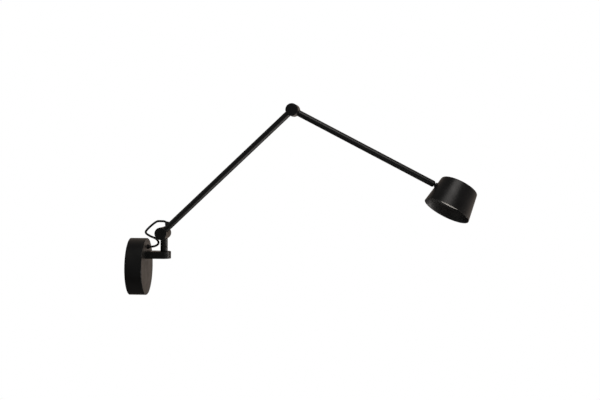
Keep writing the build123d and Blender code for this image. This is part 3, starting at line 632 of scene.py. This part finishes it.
dress(die_casting(), "heat_sink")
dress(
    moulded_plastic(
        "white_solder_mask", "e3e4e1", "efefed", spark_mm=1.0, roughness=(0.3, 0.4), ior=1.55
    ),
    "led_board",
)
dress(
    moulded_plastic(
        "yellow_phosphor", "d9b13a", "e6c455", spark_mm=0.4, roughness=(0.45, 0.6), ior=1.45
    ),
    "led_chips",
)
dress(frosted_acrylic(), "diffuser")
dress(
    moulded_plastic(
        "black_moulded_ring", "0f0f10", "151516", spark_mm=0.5, roughness=(0.45, 0.58), ior=1.53
    ),
    "diffuser_bezel",
)

# ---------------------------------------------------------------- floor
# A round of pale grey paper far below the lamp, as a wall lamp hangs high. It takes the lamp's
# shadow and runs out into white.

floor_level = -1.75
floor_radius = 3.0
floor_sides = 96
floor_centre = Vector((camera_target.x, 0.0, floor_level))
fade_start = 0.35 * floor_radius
fade_end = 0.95 * floor_radius
paper_tone = "a6a6a6"
paper_glow = 0.8

floor_mesh = bpy.data.meshes.new("floor")
floor_mesh.from_pydata(
    [
        (
            floor_centre.x + floor_radius * math.cos(2 * math.pi * n / floor_sides),
            floor_centre.y + floor_radius * math.sin(2 * math.pi * n / floor_sides),
            floor_level,
        )
        for n in range(floor_sides)
    ],
    [],
    [tuple(range(floor_sides))],
)
floor = bpy.data.objects.new("floor", floor_mesh)
bpy.context.collection.objects.link(floor)


def pale_paper():
    """Matt paper that takes shadows in the middle and is plain white at its edge."""
    material, tree = start_material("pale_paper")
    place = add(tree, "ShaderNodeTexCoord").outputs["Object"]
    away = add(
        tree, "ShaderNodeVectorMath", {0: place}, {1: floor_centre}, operation="DISTANCE"
    ).outputs["Value"]
    edge = add(
        tree, "ShaderNodeMapRange", {"Value": away},
        {"From Min": fade_start, "From Max": fade_end},
        interpolation_type="SMOOTHSTEP",
    ).outputs[0]
    path_kind = add(tree, "ShaderNodeLightPath")
    glow_level = add(
        tree, "ShaderNodeMath", {0: path_kind.outputs["Is Camera Ray"]}, {1: paper_glow},
        operation="MULTIPLY",
    ).outputs[0]
    matt = add(tree, "ShaderNodeBsdfDiffuse", values={"Color": linear(paper_tone)})
    glow = add(tree, "ShaderNodeEmission", {"Strength": glow_level}, {"Color": linear("ffffff")})
    lit = add(tree, "ShaderNodeAddShader", {0: matt.outputs[0], 1: glow.outputs[0]})
    white = add(
        tree, "ShaderNodeEmission", {"Strength": path_kind.outputs["Is Camera Ray"]},
        {"Color": linear("ffffff")},
    )
    mixed = add(tree, "ShaderNodeMixShader", {0: edge, 1: lit.outputs[0], 2: white.outputs[0]})
    add(tree, "ShaderNodeOutputMaterial", {"Surface": mixed.outputs[0]})
    return material


floor_mesh.materials.append(pale_paper())

# ---------------------------------------------------------------- light
# A dark studio with a white backdrop behind the lamp. One soft light hangs above and in front of
# the head, a wide one lies low on the right and shines straight up, and a small one is close to
# the shade, below it on the right.

backdrop_start = 0.985
backdrop_full = 1.0
left_start = -0.7
left_full = -0.95
back_right_way = (0.35, 0.94, 0.0)
behind_start = 0.2
behind_full = 0.9
wall_front = "585858"
wall_left = "bcbcbc"
wall_behind = "aa9b8f"
softbox_colour = "fffaf6"


def studio():
    """White to the camera. Metal and glass see it in the backdrop, and a dim room elsewhere."""
    world = bpy.data.worlds.new("studio")
    world.use_nodes = True
    tree = world.node_tree
    tree.nodes.clear()
    place = add(tree, "ShaderNodeTexCoord").outputs["Generated"]
    direction = add(tree, "ShaderNodeSeparateXYZ", {0: place})
    backdrop = add(
        tree, "ShaderNodeMapRange", {"Value": direction.outputs["Y"]},
        {"From Min": backdrop_start, "From Max": backdrop_full}, interpolation_type="SMOOTHSTEP",
    ).outputs[0]
    path_kind = add(tree, "ShaderNodeLightPath")
    shiny = add(
        tree, "ShaderNodeMath",
        {0: path_kind.outputs["Is Glossy Ray"], 1: path_kind.outputs["Is Transmission Ray"]},
        operation="MAXIMUM",
    ).outputs[0]
    mirrored = add(tree, "ShaderNodeMath", {0: shiny, 1: backdrop}, operation="MULTIPLY").outputs[0]
    share = add(
        tree, "ShaderNodeMath", {0: path_kind.outputs["Is Camera Ray"], 1: mirrored},
        operation="MAXIMUM",
    ).outputs[0]
    left_share = add(
        tree, "ShaderNodeMapRange", {"Value": direction.outputs["X"]},
        {"From Min": left_start, "From Max": left_full},
    ).outputs[0]
    back_right = add(
        tree, "ShaderNodeVectorMath", {0: place}, {1: back_right_way}, operation="DOT_PRODUCT"
    ).outputs["Value"]
    behind_share = add(
        tree, "ShaderNodeMapRange", {"Value": back_right},
        {"From Min": behind_start, "From Max": behind_full},
    ).outputs[0]
    front_and_behind = blend_colours(tree, behind_share, wall_front, wall_behind)
    walls = blend_colours(tree, left_share, front_and_behind, wall_left)
    room = add(tree, "ShaderNodeBackground", {"Color": walls})
    white = add(tree, "ShaderNodeBackground", values={"Color": linear("ffffff")})
    mixed = add(tree, "ShaderNodeMixShader", {0: share, 1: room.outputs[0], 2: white.outputs[0]})
    add(tree, "ShaderNodeOutputWorld", {"Surface": mixed.outputs[0]})
    bpy.context.scene.world = world


def softbox(name, place, aim, size, power):
    """A rectangular soft light at a place, turned towards its aim."""
    data = bpy.data.lights.new(name, "AREA")
    data.shape = "RECTANGLE"
    data.size, data.size_y = size
    data.energy = power
    data.color = linear(softbox_colour)[:3]
    light = bpy.data.objects.new(name, data)
    light.location = place
    light.rotation_mode = "QUATERNION"
    light.rotation_quaternion = (Vector(aim) - Vector(place)).to_track_quat("-Z", "Y")
    light.visible_camera = False
    bpy.context.collection.objects.link(light)


studio()
softbox("head_softbox", (0.68, -0.90, 1.40), aim=(0.5, 0.0, 0.2), size=(0.85, 0.9), power=5.6)
softbox("low_softbox", (1.15, -0.45, -0.5), aim=(1.15, -0.45, 0.2), size=(1.4, 1.0), power=8.0)
softbox("shade_light", (0.98, -0.05, -0.11), aim=(0.65, -0.08, 0.12), size=(0.18, 0.18), power=1.2)

bpy.context.scene.view_settings.view_transform = "Standard"
